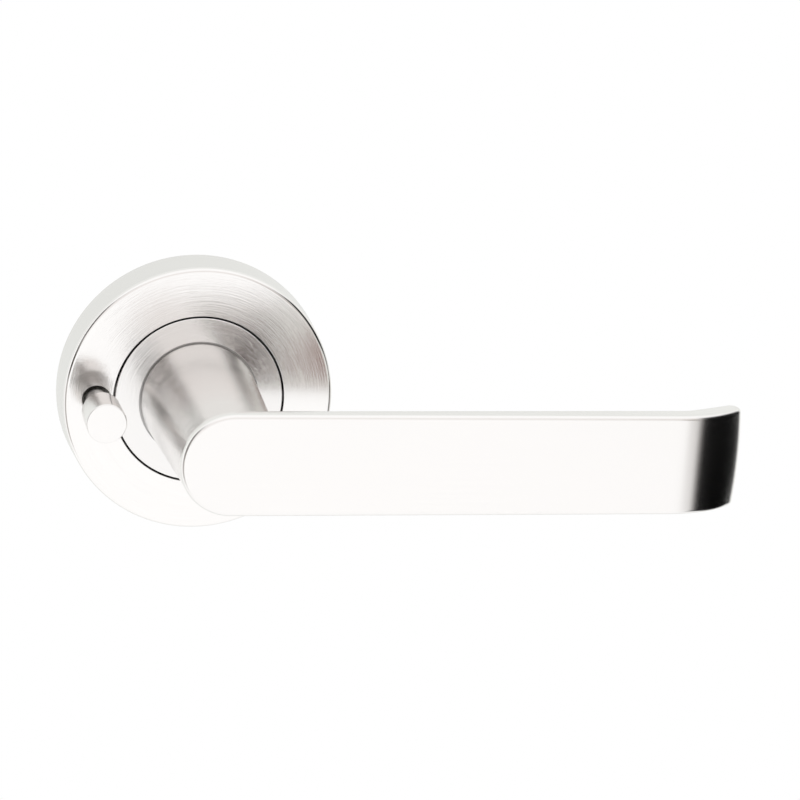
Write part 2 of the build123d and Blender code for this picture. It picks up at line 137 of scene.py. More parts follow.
class LeverSizes(bpy.types.PropertyGroup):
    """Sizes of the lever's neck and blade."""

    blade_height: length("Blade height", "Height of the flat blade", 23.8 * MM)
    blade_edge: length("Blade edge", "Radius along the blade's edges", 1.1 * MM)
    thin: length("Thickness at neck", "Thickness of the blade over the spindle axis", 3.7 * MM)
    thick: length("Thickness at curl", "Thickness of the blade where it starts to curl", 5.15 * MM)
    curl_radius: length("Curl radius", "Radius of the curled front at the tip", 26.0 * MM)
    curl: angle("Curl", "How far the front turns back at the tip", 40.5)
    back_curl: angle("Back curl", "How far the back turns at the tip", 21.9)
    knee: length("Knee radius", "Radius where the back starts to turn", 7.0 * MM)
    nose: length("Nose radius", "Radius of the rounded end of the tip", 2.1 * MM)
    tip_bow: length("Tip bow", "How far the tip's end bows out between its corners", 0.7 * MM)
    root: length("Root fillet", "Fillet between the neck and the back of the blade", 0.9 * MM)
    root_end: angle("Root end", "Angle up or down from level where the root fillet ends", 60)
    foot_sunk: length("Foot sunk", "How far the foot sits in the flange", 0.5 * MM)
    spigot: length("Spigot radius", "Radius of the spigot pressed in the flange", 10.0 * MM)
    socket: length("Socket width", "Width of the square socket for the spindle", 8.1 * MM)
    grub_hole: length("Grub hole radius", "Radius of the grub screw's hole under the neck", 2.5 * MM)


class RoseSizes(bpy.types.PropertyGroup):
    """Sizes of the rose cover, its turning flange and the bolts behind it."""

    wall: length("Wall", "Thickness of the spun cover", 1.2 * MM)
    edge: length("Front edge", "Radius of the cover's front edge", 1.05 * MM)
    taper: length("Side taper", "How much smaller the cover's front is than its back, in radius", 0.5 * MM)
    gap: length("Ring gap", "Gap between the cover and the flange", 0.42 * MM)
    burr: length("Burr", "Radius on cut edges", 0.12 * MM)
    pin_hole: length("Pin hole radius", "Radius of the hole for the privacy pin", 3.35 * MM)
    flange_edge: length("Flange edge", "Radius on the flange's rim", 0.2 * MM)
    seat_gap: length("Seat gap", "Gap round the foot of the neck", 0.25 * MM)
    bolt: length("Bolt radius", "Outer radius of the bolts' thread", 2.0 * MM)
    shank: length("Bolt shank radius", "Radius of the plain shank under the head", 1.75 * MM)
    pitch: length("Thread pitch", "Pitch of the bolts' thread", 0.7 * MM)
    thread: length("Thread depth", "Depth of the bolts' thread", 0.4 * MM)
    recess: length("Recess depth", "Depth of the cross recess in the bolts' heads", 1.3 * MM)
    slot: length("Slot width", "Half the width of the recess's two slots at their floor", 0.35 * MM)
    slot_span: share("Slot span", "How far the slots reach, as a share of the head's radius", 0.6)


class PinSizes(bpy.types.PropertyGroup):
    """Sizes of the privacy pin."""

    knob_back: length("Knob back radius", "Radius of the knob towards the door", 4.55 * MM)
    knob_edge: length("Knob edge", "Radius round the knob's face", 0.3 * MM)
    thread: length("Thread radius", "Radius of the stem's thread in the knob", 2.0 * MM)
    tail: length("Tail radius", "Radius of the tail through the door", 1.6 * MM)
    tail_edge: length("Tail edge", "Radius round the tail's end", 0.4 * MM)
    shoulder: length("Shoulder", "Length of the stem behind its retaining clip", 0.6 * MM)
    groove: length("Groove depth", "Depth of the detent grooves", 0.4 * MM)
    clip_groove: length("Clip groove depth", "Depth of the groove for the retaining clip", 0.7 * MM)
    travel: length("Travel", "Distance between the two detent grooves", 6.0 * MM)


class FinishColours(bpy.types.PropertyGroup):
    """Colours of the finishes and how strongly they are brushed."""

    steel: colour("Satin steel", "Brushed stainless steel", (0.90, 0.884, 0.872))
    zinc: colour("Zinc casting", "Die-cast zinc alloy", (0.50, 0.51, 0.52))
    plated: colour("Plated steel", "Bright zinc plating", (0.70, 0.72, 0.73))
    spring: colour("Spring steel", "Drawn and oiled spring steel", (0.20, 0.20, 0.21))
    nylon: colour("Nylon", "Natural nylon", (0.80, 0.77, 0.68))
    brush: share("Brush depth", "How deep the brush lines are, where one half is usual", 0.5)


class StudioSettings(bpy.types.PropertyGroup):
    """Light around the object."""

    surround: level("Surround", "Brightness of the white surround in front", 1.13)
    above: share("Above", "Brightness above, as a share of the surround's", 0.98)
    behind: colour("Behind", "Colour of the surround behind the object", (0.90, 0.912, 0.89))
    floor: colour("Floor", "Colour of the floor", (0.85, 0.85, 0.84))
    floor_drop: length("Floor drop", "How far the floor lies below the spindle", 1050 * MM)
    floor_half: length("Floor half width", "Half the width of the floor", 700 * MM)


# Surfaces as arrays of points
def outline(*corners):
    """An outline through corners given as (radius, depth, rounding).

    A corner with a rounding r and a turn t becomes the arc start + r (sin a, 1 - cos a), a from 0 to t, that
    touches both sides. A point just outside each end of an arc keeps the flat beside it flat.
    """
    places = np.array([c[:2] for c in corners], float)
    points = [places[:1]]
    for (*_, rounding), before, here, after in zip(corners[1:], places, places[1:], places[2:]):
        if rounding == 0:
            points.append(here[None])
            continue
        ahead = (here - before) / np.linalg.norm(here - before)
        onward = (after - here) / np.linalg.norm(after - here)
        turn = np.arccos(np.clip(ahead @ onward, -1, 1))
        side = onward - (onward @ ahead) * ahead
        side /= np.linalg.norm(side)
        start = here - ahead * rounding * tan(turn / 2)
        a = np.linspace(0, turn, CORNER_STEPS + 1)[:, None]
        bend = start + rounding * (np.sin(a) * ahead + (1 - np.cos(a)) * side)
        points += [bend[:1] - HOLD * ahead, bend, bend[-1:] + HOLD * onward]
    return np.concatenate(points + [places[-1:]])


def about_y(radius, depth, a):
    """Points at a radius, a depth and an angle round the Y axis."""
    return np.stack(np.broadcast_arrays(radius * np.cos(a), -depth, radius * np.sin(a)), axis=-1)


def turned(profile, axis_x=0.0, axis_z=0.0, sides=SIDES):
    """A surface of revolution: each (radius, depth) of the profile carried round a line along Y."""
    a = np.linspace(0, 2 * pi, sides, endpoint=False)[:, None]
    return about_y(*profile.T, a) + (axis_x, 0, axis_z)


def along(points, shares):
    """Points at the given shares of a line's length."""
    steps = np.linalg.norm(np.diff(points, axis=0), axis=1)
    place = np.concatenate([[0], np.cumsum(steps)]) / steps.sum()
    return np.stack([np.interp(shares, place, column) for column in points.T], axis=1)


def border(grid):
    """The points round the edge of a grid, in order."""
    return np.concatenate([grid[:-1, 0], grid[-1, :-1], grid[:0:-1, -1], grid[0, :0:-1]])


def round_hole(loop, centre, radius, rings=4):
    """Rings of points from a round hole out to the loop round it: each point of the loop is joined by a
    straight line to the point of the hole that lies in its direction."""
    away = loop - centre
    rim = centre + radius * away / np.linalg.norm(away, axis=1, keepdims=True)
    t = np.linspace(0, 1, rings + 1)[:, None]
    return rim[:, None] * (1 - t) + loop[:, None] * t


def new_object(name, data):
    """An object in the scene, with its mesh or camera."""
    made = bpy.data.objects.new(name, data)
    bpy.context.scene.collection.objects.link(made)
    return made


class Surface:
    """Grids of points and the four-sided faces between neighbours, gathered into one mesh."""

    def __init__(self):
        self.points, self.faces, self.finishes = [], [], []
        self.count = 0

    def add(self, grid, ring=False, skip=None, finish=0):
        """Adds a grid; ring joins its last row to its first, and skip marks faces to leave out."""
        rows, columns = grid.shape[:2]
        index = self.count + np.arange(rows * columns).reshape(rows, columns)
        if ring:
            index = np.vstack([index, index[:1]])
        faces = np.stack([index[:-1, :-1], index[1:, :-1], index[1:, 1:], index[:-1, 1:]], axis=-1)
        faces = faces.reshape(-1, 4) if skip is None else faces[~skip]
        self.points.append(grid.reshape(-1, 3))
        self.faces.append(faces)
        self.finishes.append(np.full(len(faces), finish))
        self.count += rows * columns

    def piece(self, name, body, slot, node, *materials):
        """Welds the grids where they meet, turns the faces outwards and replaces a node of the frame."""
        mesh = bpy.data.meshes.new(name)
        mesh.from_pydata(np.concatenate(self.points), [], np.concatenate(self.faces).tolist())
        for material in materials:
            mesh.materials.append(material)
        mesh.polygons.foreach_set("material_index", np.concatenate(self.finishes))
        work = bmesh.new()
        work.from_mesh(mesh)
        bmesh.ops.remove_doubles(work, verts=work.verts, dist=WELD)
        bmesh.ops.dissolve_degenerate(work, edges=work.edges, dist=WELD / 2)
        bmesh.ops.recalc_face_normals(work, faces=work.faces)
        work.to_mesh(mesh)
        work.free()
        mesh.polygons.foreach_set("use_smooth", np.ones(len(mesh.polygons), bool))
        mesh.set_sharp_from_angle(angle=SHARP_ANGLE)
        made = new_object(name, mesh)
        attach(made, body)
        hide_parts(node)


def lever_surface(sizes):
    """The lever as one closed surface.

    The blade's front and back are two lines seen from above, joined by the round nose. Each point of them is
    carried up and down the blade's height and round its edge: at an edge angle a the point moves in by
    e (1 - cos a) and up by e sin a. The left end of the blade is the same edge carried round the spindle
    axis. The back starts at the neck, a cone about that axis, along a fillet that fades out to the edges.
    """
    half, edge, nose = sizes.blade_height / 2, sizes.blade_edge, sizes.nose
    curl, back_curl = sizes.curl, sizes.back_curl
    nose_x = TIP_X - nose
    nose_behind = sizes.curl_radius - (sizes.curl_radius - nose) * cos(curl)
    curl_x = nose_x - (sizes.curl_radius - nose) * sin(curl)

    # Seen from above, as distance along the lever and distance behind its front
    bend = np.linspace(0, curl, CURL_POINTS)
    curled = np.stack(
        [curl_x + sizes.curl_radius * np.sin(bend), sizes.curl_radius * (1 - np.cos(bend))], axis=1
    )
    front_line = np.concatenate([[(0.0, 0.0)], curled])
    slope = (sizes.thick - sizes.thin) / curl_x
    nose_back = (nose_x - nose * sin(back_curl), nose_behind + nose * cos(back_curl))
    knee_x = (sizes.thin - nose_back[1] + tan(back_curl) * nose_back[0]) / (tan(back_curl) - slope)
    back_line = outline(
        (0, sizes.thin, 0), (knee_x, sizes.thin + slope * knee_x, sizes.knee), (*nose_back, 0)
    )
    straight = curl_x / (curl_x + sizes.curl_radius * curl)
    parts = np.linspace(0, straight, BLADE_POINTS), np.linspace(straight, 1, BLADE_POINTS)[1:]
    shares = np.concatenate(parts)
    front, back = along(front_line, shares), along(back_line, shares)
    round_nose = np.linspace(curl - pi / 2, pi / 2 + back_curl, NOSE_POINTS)
    nose_away = np.stack([np.cos(round_nose), np.sin(round_nose)], axis=1)
    nose_points = (nose_x, nose_behind) + nose * nose_away
    bow_start = (curl_x + TIP_X) / 2

    def outwards(line, side):
        """Unit vectors square to a line, on one side of it."""
        run = np.gradient(line, axis=0)
        run /= np.linalg.norm(run, axis=1, keepdims=True)
        return side * np.stack([run[:, 1], -run[:, 0]], axis=1)

    # Up the blade's height: the flat between the edges, then a quarter round at each edge
    edge_turn = asin((half - edge) / half)
    spread = np.concatenate([np.linspace(0, pi / 4, 10), np.linspace(pi / 4, edge_turn, 6)[1:]])
    flat = np.sin(spread) * half / (half - edge)
    flat = np.insert(flat, -1, 1 - HOLD / half)
    round_edge = np.linspace(0, pi / 2, CORNER_STEPS + 1)[1:]
    rise = np.concatenate([flat, np.ones(CORNER_STEPS)])
    lift = np.concatenate([0 * flat, edge * np.sin(round_edge)])
    inset = np.concatenate([0 * flat, edge * (1 - np.cos(round_edge))])
    rise, lift = (np.concatenate([-part[:0:-1], part]) for part in (rise, lift))
    inset = np.concatenate([inset[:0:-1], inset])

    def blade_wall(plan, away):
        """Carries a line of the plan up the blade's height. The end bows: towards the tip, a point at a
        height z moves back along the line of the curl by a share of b (z / half)^2."""
        moved = plan[:, None] - away[:, None] * inset[:, None]
        z = rise * (half - edge) + lift
        near_tip = np.clip((plan[:, 0] - bow_start) / (nose_x - bow_start), 0, 1) ** 2
        bow = sizes.tip_bow * near_tip[:, None] * (z / half) ** 2
        x, y = moved[..., 0] - bow, moved[..., 1] - bow * tan(back_curl) - REACH
        return np.stack([x, y, np.broadcast_to(z, bow.shape)], axis=-1)

    front_wall = blade_wall(front, outwards(front, 1))
    nose_wall = blade_wall(nose_points, nose_away)
    back_wall = blade_wall(back, outwards(back, -1))

    # The back starts where the neck's fillet ends
    up = np.arcsin(np.clip((rise * (half - edge) + lift) / half, -1, 1))
    fillet = sizes.root * np.clip(1 - (up / sizes.root_end) ** 2, 0, 1)
    fade = np.clip(1 - back[:, :1] / (curl_x / 2), 0, 1)
    shift = (half + fillet) * np.cos(up) * fade
    back_wall[..., 0] += shift
    back_wall[..., 1] += shift * slope
    back_wall[..., 2] += fillet * np.sin(up) * fade

    surface = Surface()
    surface.add(front_wall)
    surface.add(nose_wall)
    surface.add(back_wall, finish=2)
    middle = len(nose_wall) // 2 + 1
    for end in (0, -1):
        before = np.concatenate([front_wall[:, end], nose_wall[:middle, end]])
        behind = np.concatenate([back_wall[:, end], nose_wall[::-1][:middle, end]])
        surface.add(np.stack([before, behind], axis=1))

    # Round left end: the front's half disc and the wall behind its edge
    left = np.linspace(pi / 2, 3 * pi / 2, END_POINTS)
    upper = slice(len(rise) // 2, None)
    reach_out = (rise * (half - edge) + lift)[upper]
    surface.add(about_y(reach_out, REACH - inset[upper], left[:, None]))
    collar = np.array([REACH - edge, REACH - sizes.thin + edge])
    surface.add(about_y(half, collar, left[:, None]))

    # Neck: rings from the blade's back to the foot, then the spigot and the square socket
    foot = ROSE_DEPTH - sizes.foot_sunk
    blade_back = REACH - sizes.thin
    taper = (NECK_BASE_R - half) / (blade_back - foot)

    def neck_radius(depth):
        """Radius of the neck at a depth."""
        return half + taper * np.clip(blade_back - depth, 0, None)

    turn = np.concatenate([left[:-1], up[:-1]])[:, None]
    top = np.concatenate([np.full(len(left) - 1, -collar[1]), back_wall[0, :-1, 1]])[:, None]
    root = np.concatenate([np.zeros(len(left) - 1), fillet[:-1]])[:, None]
    sweep = np.linspace(0, pi / 2, 6)
    root_depth = -top - root * (1 - np.cos(sweep))
    root_radius = neck_radius(root_depth) + root * (1 - np.sin(sweep))
    grub_depth = -(GRUB_LOW.y + GRUB_HIGH.y) / 2
    block_half = 1.7 * sizes.grub_hole
    block = grub_depth + np.linspace(block_half, -block_half, BLOCK_POINTS)
    above = np.linspace(blade_back - 2 * sizes.root, block[0], 12)
    below = np.linspace(block[-1], foot, 7)
    neck_depth = np.concatenate([above, block[1:-1], below])
    ones = np.ones_like(turn)
    square = sizes.socket / 2 / np.maximum(np.abs(np.cos(turn)), np.abs(np.sin(turn)))
    outer, spigot = neck_radius(neck_depth) * ones, sizes.spigot * ones
    radius = np.concatenate([root_radius, outer, spigot, spigot, square, square, 0 * ones], axis=1)
    inner_depth = [foot, SPIGOT_DEPTH, SPIGOT_DEPTH, SOCKET_END, SOCKET_END]
    depth = np.concatenate([root_depth, np.concatenate([neck_depth, inner_depth]) * ones], axis=1)
    neck = about_y(radius, depth, turn)

    # Hole of the grub screw in the underside, in a block of faces left out of the neck
    under, beside = len(left) - 1, 5
    first = root_depth.shape[1] + len(above) - 1
    rows, columns = slice(under - beside, under + beside + 1), slice(first, first + len(block))
    skip = np.zeros((neck.shape[0], neck.shape[1] - 1), bool)
    skip[under - beside : under + beside, first : first + len(block) - 1] = True
    surface.add(neck, ring=True, skip=skip, finish=1)
    loop = border(neck[rows, columns][..., :2])
    flat_rings = round_hole(loop, np.array([0, -grub_depth]), sizes.grub_hole)
    drop = np.sqrt(neck_radius(-flat_rings[..., 1]) ** 2 - flat_rings[..., 0] ** 2)
    surface.add(np.concatenate([flat_rings, -drop[..., None]], axis=-1), ring=True, finish=1)
    rim = np.concatenate([flat_rings[:, 0], -drop[:, :1]], axis=1)
    floor = rim.copy()
    floor[:, 2] = GRUB_LOW.z + HOLD
    pole = np.broadcast_to([0, -grub_depth, GRUB_LOW.z + HOLD], rim.shape)
    surface.add(np.stack([rim, floor, pole], axis=1), ring=True, finish=1)
    return surface


def cover_surface(sizes):
    """The rose cover: a turned shell whose side leans in towards the front. Its front and inner faces each
    have a round hole for the pin, joined by the hole's wall."""
    hole_r, inner_r = FLANGE_R + sizes.gap, ROSE_R - sizes.wall
    inside = ROSE_DEPTH - sizes.wall
    front_r = ROSE_R - sizes.taper
    face_out = front_r - sizes.edge - HOLD
    burr = sizes.burr
    face_in = hole_r + burr + HOLD
    edge_depth = 1.2 * sizes.edge
    side_start = (front_r + sizes.taper * edge_depth / ROSE_DEPTH, ROSE_DEPTH - edge_depth, 0)
    surface = Surface()
    edge = outline((face_out, ROSE_DEPTH, 0), (front_r, ROSE_DEPTH, sizes.edge), side_start)
    side = outline(side_start, (ROSE_R, 0, burr), (inner_r, 0, 0), (inner_r, inside, 0))
    rim = outline((face_in, ROSE_DEPTH, 0), (hole_r, ROSE_DEPTH, burr), (hole_r, inside, 0))
    surface.add(turned(edge), ring=True, finish=2)
    surface.add(turned(side), ring=True, finish=1)
    surface.add(turned(rim), ring=True)
    beside = BLOCK_POINTS - 1
    first, last = SIDES // 2 - beside, SIDES // 2 + beside
    block_end = -PIN_X + 1.4 * sizes.pin_hole
    centre = np.array([PIN_X, 0.0])
    loops = []
    for depth, low, high, hole in (
        (ROSE_DEPTH, face_in, face_out, sizes.pin_hole + burr),
        (inside, hole_r, inner_r, sizes.pin_hole),
    ):
        radii = np.append(np.linspace(low, block_end, BLOCK_POINTS), high)
        face = turned(np.stack([radii, np.full_like(radii, depth)], axis=1))
        skip = np.zeros((SIDES, BLOCK_POINTS), bool)
        skip[first:last, : BLOCK_POINTS - 1] = True
        surface.add(face, ring=True, skip=skip)
        loop = border(face[first : last + 1, :BLOCK_POINTS])[:, ::2]
        rings = round_hole(loop, centre, hole)
        surface.add(np.insert(rings, 1, -depth, axis=-1), ring=True)
        loops.append((loop - centre) / np.linalg.norm(loop - centre, axis=1, keepdims=True))
    bend = np.linspace(0, pi / 2, CORNER_STEPS + 1)
    wall_r = np.append(sizes.pin_hole + burr * (1 - np.sin(bend)), sizes.pin_hole)
    wall_depth = np.append(ROSE_DEPTH - burr * (1 - np.cos(bend)), inside)
    blend = np.append(0 * bend, 1)[:, None]
    way = loops[0][:, None] * (1 - blend) + loops[1][:, None] * blend
    wall = centre + way * wall_r[:, None]
    surface.add(np.insert(wall, 1, -wall_depth, axis=-1), ring=True)
    return surface


def flange_surface(sizes, lever):
    """The flange: its section carried round the spindle axis, in two parts, the disc and the hollow in it."""
    back, seat = -FLANGE_HIGH.y, ROSE_DEPTH - lever.foot_sunk
    seat_r, edge = NECK_BASE_R + sizes.seat_gap, sizes.flange_edge
    lip = (seat_r + sizes.burr / 2 + HOLD, ROSE_DEPTH, 0)
    bore_front, bore_back = (lever.spigot, seat, 0), (lever.spigot, back, 0)
    disc = outline(bore_back, (FLANGE_R, back, edge), (FLANGE_R, ROSE_DEPTH, edge), lip)
    hollow = outline(lip, (seat_r, ROSE_DEPTH, sizes.burr / 2), (seat_r, seat, 0), bore_front, bore_back)
    surface = Surface()
    surface.add(turned(disc), ring=True)
    surface.add(turned(hollow), ring=True, finish=1)
    return surface


def knob_surface(sizes):
    """The knob: its section carried round the pin's axis, with the blind hole for the stem's thread."""
    back, front, front_r = -KNOB_HIGH.y, -KNOB_LOW.y, KNOB_HIGH.z
    thread_end = -STEM_LOW.y
    hole = [(0, thread_end, 0), (sizes.thread, thread_end, 0), (sizes.thread, back, 0)]
    head = [(sizes.knob_back, back, sizes.knob_edge / 2), (front_r, front, sizes.knob_edge), (0, front, 0)]
    surface = Surface()
    surface.add(turned(outline(*hole, *head), PIN_X, sides=SIDES // 2), ring=True)
    return surface


def stem_surface(sizes):
    """The stem: its section with the clip's groove and two detent grooves, carried round the pin's axis."""
    tail_end, knob_back, thread_end = -STEM_HIGH.y, -KNOB_HIGH.y, -STEM_LOW.y
    clip_back, clip_front = -CLIP_HIGH.y, -CLIP_LOW.y
    shoulder = clip_back - sizes.shoulder
    detent, wire = -(DETENT_LOW.y + DETENT_HIGH.y) / 2, (DETENT_HIGH.y - DETENT_LOW.y) / 2
    grooves = [(clip_back, clip_front, sizes.clip_groove)]
    grooves += [(d - wire, d + wire, sizes.groove) for d in (detent, detent + sizes.travel)]
    corners = [(0, tail_end, 0), (sizes.tail, tail_end, sizes.tail_edge)]
    corners += [(sizes.tail, shoulder, 0), (STEM_R, shoulder, 0)]
    for low, high, deep in grooves:
        corners += [(STEM_R, low, 0), (STEM_R - deep, low, 0), (STEM_R - deep, high, 0), (STEM_R, high, 0)]
    corners += [(STEM_R, knob_back, 0), (sizes.thread, knob_back, 0)]
    corners += [(sizes.thread, thread_end, 0), (0, thread_end, 0)]
    surface = Surface()
    surface.add(turned(outline(*corners), PIN_X, sides=SIDES // 2), ring=True)
    return surface


def bolt_surface(sizes):
    """Two bolts: a countersunk head with a cross recess, a plain shank and a threaded length.

    The thread's radius falls by its depth from crest to root and back once a pitch, along rows that climb one
    pitch a turn. The recess is deepest in the head's middle and along two crossed slots, and fades out
    towards its rim.
    """
    front, end = -BOLTS_LOW.y, -BOLTS_HIGH.y
    head_r = BOLTS_HIGH.x
    middle = (BOLTS_HIGH.z + BOLTS_LOW.z) / 2
    offset = BOLTS_HIGH.z - middle - head_r
    per_turn = 4
    a = np.linspace(0, 2 * pi, BOLT_SIDES + 1)
    rows = np.arange(-per_turn, int(-end / sizes.pitch * per_turn) + per_turn + 1)
    depth = -sizes.pitch * (rows / per_turn + a[:, None] / (2 * pi))
    groove = sizes.thread * np.abs((rows / per_turn * 2) % 2 - 1) + 0 * a[:, None]
    taper = np.clip(1 - (depth - end) / sizes.pitch, 0, 1) * sizes.thread
    radius = np.minimum(sizes.bolt - groove, sizes.bolt - taper)
    depth = np.clip(depth, end, 0)
    thread = about_y(radius, depth, a[:, None])
    cone = head_r - sizes.shank
    shank = [(sizes.bolt, 0, 0), (sizes.shank, 0, 0), (sizes.shank, front - cone, 0)]
    head = outline(*shank, (head_r, front, 0))
    disc = np.linspace(1, 0, HEAD_POINTS) * head_r
    x, z = disc * np.cos(a)[:, None], disc * np.sin(a)[:, None]
    slot = np.clip(2 - np.minimum(np.abs(x), np.abs(z)) / sizes.slot, 0, 1)
    recess = sizes.recess * slot * np.clip(2 - 2 * disc / (sizes.slot_span * head_r), 0, 1)
    top = np.stack([x, recess - front, z], axis=-1)
    tip_r = np.array([1.0, 0.0]) * (sizes.bolt - sizes.thread)
    tip = about_y(tip_r, end, a[:, None])
    surface = Surface()
    for z_place in (middle + offset, middle - offset):
        shift = np.array([0, 0, z_place])
        for grid in (thread, top, tip):
            surface.add(grid + shift)
        surface.add(turned(head, axis_z=z_place, sides=BOLT_SIDES), ring=True)
    return surface


# Finishes
class Wire:
    """A value in a shader; arithmetic on it adds the nodes that work it out."""

    def __init__(self, shader, socket):
        self.shader, self.socket = shader, socket

    def maths(self, operation, *values):
        """A Math node on these values."""
        return self.shader.node("ShaderNodeMath", {"operation": operation}, dict(enumerate(values)))

    def __add__(self, other):
        return self.maths("ADD", self, other)

    def __sub__(self, other):
        return self.maths("SUBTRACT", self, other)

    def __rsub__(self, other):
        return self.maths("SUBTRACT", other, self)

    def __mul__(self, other):
        return self.maths("MULTIPLY", self, other)

    def __truediv__(self, other):
        return self.maths("DIVIDE", self, other)

    def __pow__(self, other):
        return self.maths("POWER", self, other)

    __radd__, __rmul__ = __add__, __mul__

    def rises(self, low, high):
        """0 below low, 1 above high and a smooth step between them."""
        sockets = {"Value": self, "From Min": low, "From Max": high}
        return self.shader.node("ShaderNodeMapRange", {"interpolation_type": "SMOOTHSTEP"}, sockets)

    def within(self, start, whole, fading, end):
        """1 from whole to fading, with smooth steps to 0 at start and at end."""
        return self.rises(start, whole) * (1 - self.rises(fading, end))


class Shader:
    """A node tree that is written as expressions."""

    def __init__(self, tree):
        tree.nodes.clear()
        self.tree = tree

    def node(self, kind, settings=None, sockets=None, output=0):
        """Adds a node: its settings, then its sockets' values or links. Gives one of its outputs."""
        made = self.tree.nodes.new(kind)
        for name, value in (settings or {}).items():
            setattr(made, name, value)
        for name, value in (sockets or {}).items():
            if isinstance(value, Wire):
                self.tree.links.new(value.socket, made.inputs[name])
            else:
                made.inputs[name].default_value = value
        return Wire(self, made.outputs[output]) if made.outputs else None

    def place(self, centre=(0, 0, 0)):
        """The object's own coordinates, measured from a centre."""
        raw = self.node("ShaderNodeTexCoord", output="Object")
        sockets = {"Vector": raw, "Location": [-c for c in centre]}
        return self.node("ShaderNodeMapping", sockets=sockets)

    def split(self, vector):
        """The three parts of a vector."""
        made = self.node("ShaderNodeSeparateXYZ", sockets={"Vector": vector})
        return [Wire(self, output) for output in made.socket.node.outputs]

    def join(self, x, y, z):
        """A vector of three parts."""
        return self.node("ShaderNodeCombineXYZ", sockets={0: x, 1: y, 2: z})

    def noise(self, vector, scale=1.0, detail=2.0, rough=0.5):
        """Soft random values about one half."""
        sockets = {"Vector": vector, "Scale": scale, "Detail": detail, "Roughness": rough}
        return self.node("ShaderNodeTexNoise", sockets=sockets)

    def tint(self, share_of, low, high):
        """A colour between two, by a value from 0 to 1."""
        low, high = (c if isinstance(c, Wire) else (*c, 1) for c in (low, high))
        return self.node("ShaderNodeMix", {"data_type": "RGBA"}, {0: share_of, 6: low, 7: high}, output=2)

    def bump(self, height, distance):
        """A normal bent by a height, which is in units of the distance."""
        return self.node("ShaderNodeBump", sockets={"Height": height, "Distance": distance})

    def surface(self, **sockets):
        """Ends the tree in a Principled shader; socket names have _ for a space."""
        named = {name.replace("_", " "): value for name, value in sockets.items()}
        shade = self.node("ShaderNodeBsdfPrincipled", sockets=named)
        self.node("ShaderNodeOutputMaterial", sockets={"Surface": shade})


def new_finish(name):
    """A material and the shader that fills it."""
    material = bpy.data.materials.new(name)
    material.use_nodes = True
    return material, Shader(material.node_tree)


def shaded(rgb, factor):
    """A colour made darker or lighter by a factor."""
    return tuple(channel * factor for channel in rgb)


def ring_lines(shader, vector, pitch):
    """Random lines that run round the Y axis: noise over the radius and depth, which changes slowly round the
    turn. Most of it is fine, and some is nine times as broad."""
    x, y, z = shader.split(vector)
    radius = (x * x + z * z) ** 0.5
    turn_x, turn_z = x / (radius + MM), z / (radius + MM)

    def lines(width, change):
        """Where to take the noise for lines of a width, and how fast they change round the turn."""
        return shader.join(radius / width, turn_x * change + y / width, turn_z * change)

    fine = shader.noise(lines(pitch, 2.5), detail=3.0, rough=0.65)
    broad = shader.noise(lines(9 * pitch, 1.2))
    return fine * 0.7 + broad * 0.3


def turned_steel(colours, name, pitch, roughness, depth, tone=1.0, centre=(0, 0, 0)):
    """Satin steel with lines round an axis along Y, as a lathe and a brush leave them. The pitch and depth
    are the lines', and the tone makes the steel darker."""
    material, shader = new_finish(name)
    lines = ring_lines(shader, shader.place(centre), pitch)
    shader.surface(
        Base_Color=shader.tint(lines, shaded(colours.steel, 0.94 * tone), shaded(colours.steel, 1.04 * tone)),
        Metallic=1.0,
        Roughness=roughness + (lines - 0.5) * 0.16,
        Normal=shader.bump(lines, depth * colours.brush * 2),
    )
    return material


def blade_steel(colours, name, roughness, grain):
    """Satin steel brushed along the blade: noise stretched along X, and a sheen that the grain makes sharp
    along it and wide across."""
    material, shader = new_finish(name)
    x, y, z = shader.split(shader.place())
    fine = shader.noise(shader.join(x / (9 * MM), y / (0.09 * MM), z / (0.09 * MM)), detail=3.0, rough=0.6)
    broad = shader.noise(shader.join(x / (45 * MM), y / (0.7 * MM), z / (0.7 * MM)))
    lines = fine * 0.65 + broad * 0.35
    shader.surface(
        Base_Color=shader.tint(lines, shaded(colours.steel, 0.96), shaded(colours.steel, 1.03)),
        Metallic=1.0,
        Roughness=roughness + (lines - 0.5) * 0.10,
        Anisotropic=grain,
        Anisotropic_Rotation=0.25,
        Normal=shader.bump(lines, 3e-6 * colours.brush * 2),
    )
    return material


def zinc_casting(colours):
    """As-cast zinc alloy: a fine grain, and faint flow marks that vary its gloss."""
    material, shader = new_finish("zinc_casting")
    place = shader.place()
    grain = shader.noise(place, scale=2600.0, detail=3.0, rough=0.7)
    flow = shader.noise(place, scale=110.0, detail=3.0)
    cast = flow * 0.7 + grain * 0.3
    shader.surface(
        Base_Color=shader.tint(cast, shaded(colours.zinc, 0.82), shaded(colours.zinc, 1.14)),
        Metallic=0.9,
        Roughness=0.46 + (flow - 0.5) * 0.25,
        Normal=shader.bump(grain * 0.8 + flow * 0.4, 25e-6),
    )
    return material


def plated_steel(colours):
    """Bright zinc plating over drawn steel: cool, with soft clouds and fine lines along Y."""
    material, shader = new_finish("plated_steel")
    place = shader.place()
    x, y, z = shader.split(place)
    drawn = shader.noise(shader.join(x / (0.12 * MM), y / (6 * MM), z / (0.12 * MM)))
    cloud = shader.noise(place, scale=260.0, detail=3.0)
    shader.surface(
        Base_Color=shader.tint(cloud, shaded(colours.plated, 0.86), shaded(colours.plated, 1.10)),
        Metallic=1.0,
        Roughness=0.26 + cloud * 0.14 + drawn * 0.06,
        Normal=shader.bump(drawn, 2.5e-6),
    )
    return material


